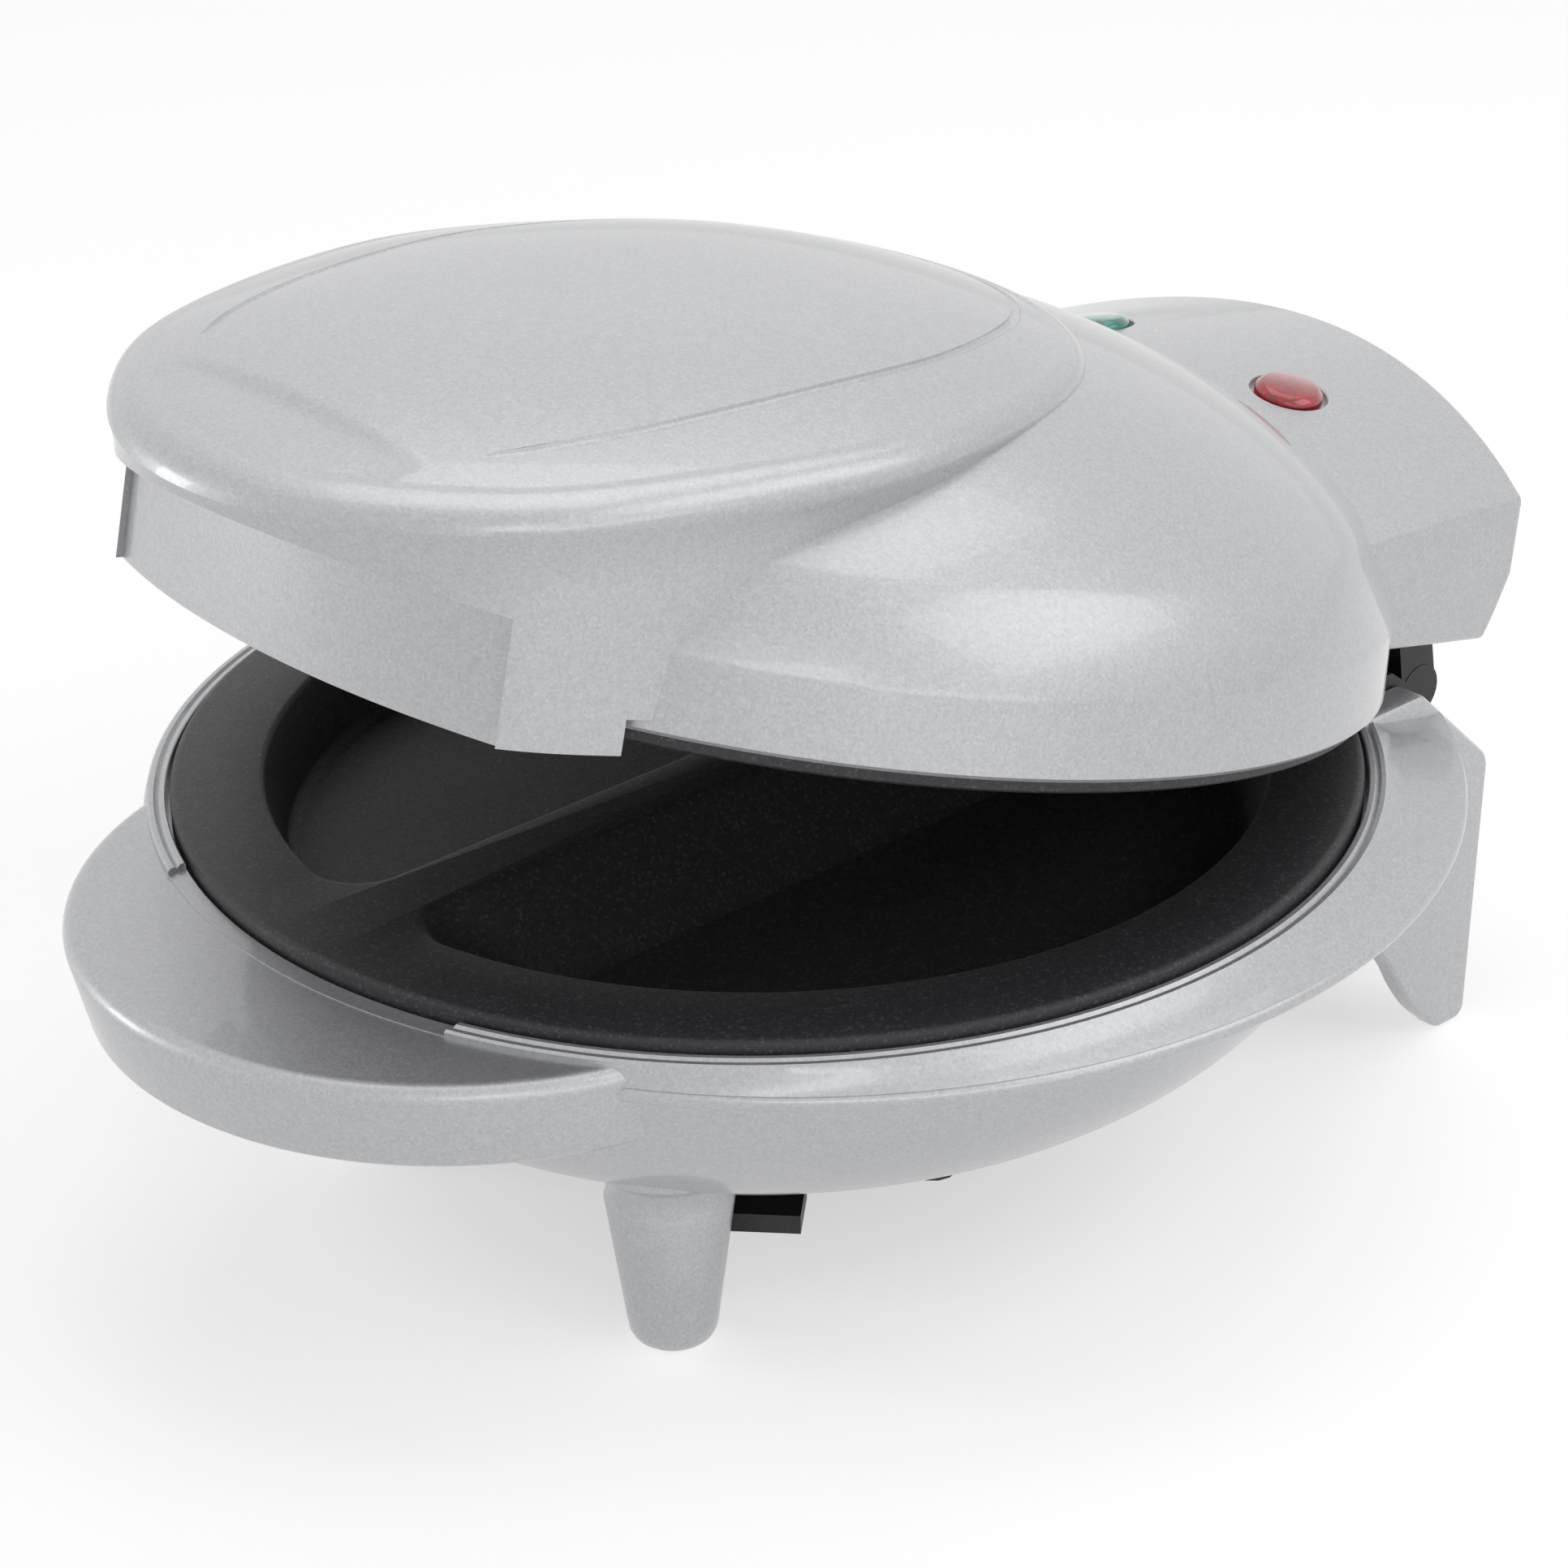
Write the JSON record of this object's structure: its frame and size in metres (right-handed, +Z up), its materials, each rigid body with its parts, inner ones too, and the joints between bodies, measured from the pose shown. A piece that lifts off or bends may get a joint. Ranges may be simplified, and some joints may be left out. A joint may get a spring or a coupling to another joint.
{
  "type": "omelette maker",
  "caption": "Countertop omelette maker: a domed hinged lid and a round base, each with a cast plate that has two half-moon pockets.",
  "frame": {"origin": "middle of the object's box at the height of the surface it stands on", "axes": "+Z up, -Y towards the front handle, +Y towards the hinge, +X to the right seen from the front"},
  "size_m": [0.2108, 0.25, 0.1516],
  "materials": {
    "silver_paint": "silver sparkle paint over moulded plastic, satin",
    "nonstick_coating": "black speckled non-stick coating over cast aluminium",
    "heater_steel": "dull steel tube",
    "sheet_steel": "bright pressed sheet",
    "ceramic": "pale ceramic, matt",
    "black_plastic": "black heat-resistant plastic, fine grain",
    "pin_steel": "ground steel",
    "zinc_screw": "zinc-plated",
    "green_lens": "clear tinted, glossy",
    "red_lens": "clear tinted, glossy",
    "neon_glass": "clear"
  },
  "bodies": {
    "base": {"base_shell": "silver_paint", "lower_plate": "nonstick_coating", "lower_heater": "heater_steel", "thermostat": "ceramic", "lower_reflector": "sheet_steel", "hinge_bracket": "black_plastic", "bottom_cover": "black_plastic", "rear_cover": "black_plastic", "cord_bush": "black_plastic", "hinge_pin_left": "pin_steel", "hinge_pin_right": "pin_steel", "plate_screw_1": "zinc_screw", "plate_screw_2": "zinc_screw", "plate_screw_3": "zinc_screw", "plate_screw_4": "zinc_screw", "cover_screw_1": "zinc_screw", "cover_screw_2": "zinc_screw", "cover_screw_3": "zinc_screw", "cover_screw_4": "zinc_screw", "lower_reflector_screw_1": "zinc_screw", "lower_reflector_screw_2": "zinc_screw", "lower_reflector_screw_3": "zinc_screw", "bracket_screw_left": "zinc_screw", "bracket_screw_right": "zinc_screw", "rear_cover_screw_left": "zinc_screw", "rear_cover_screw_right": "zinc_screw"},
    "lid": {"lid_shell": "silver_paint", "inner_cover": "black_plastic", "upper_plate": "nonstick_coating", "upper_heater": "heater_steel", "thermal_fuse": "ceramic", "upper_reflector": "sheet_steel", "lamp_holder": "black_plastic", "lens_green": "green_lens", "neon_lamp_green": "neon_glass", "lens_red": "red_lens", "neon_lamp_red": "neon_glass", "upper_reflector_screw_1": "zinc_screw", "upper_reflector_screw_2": "zinc_screw", "upper_reflector_screw_3": "zinc_screw", "inner_cover_screw_left": "zinc_screw", "inner_cover_screw_right": "zinc_screw"}
  },
  "joints": [
    {"name": "lid_hinge", "type": "hinge", "parent": "base", "child": "lid", "pos_m": [0, 0.10051, 0.058], "axis": [-1, 0, 0], "range_deg": [-13.3, 85]}
  ]
}
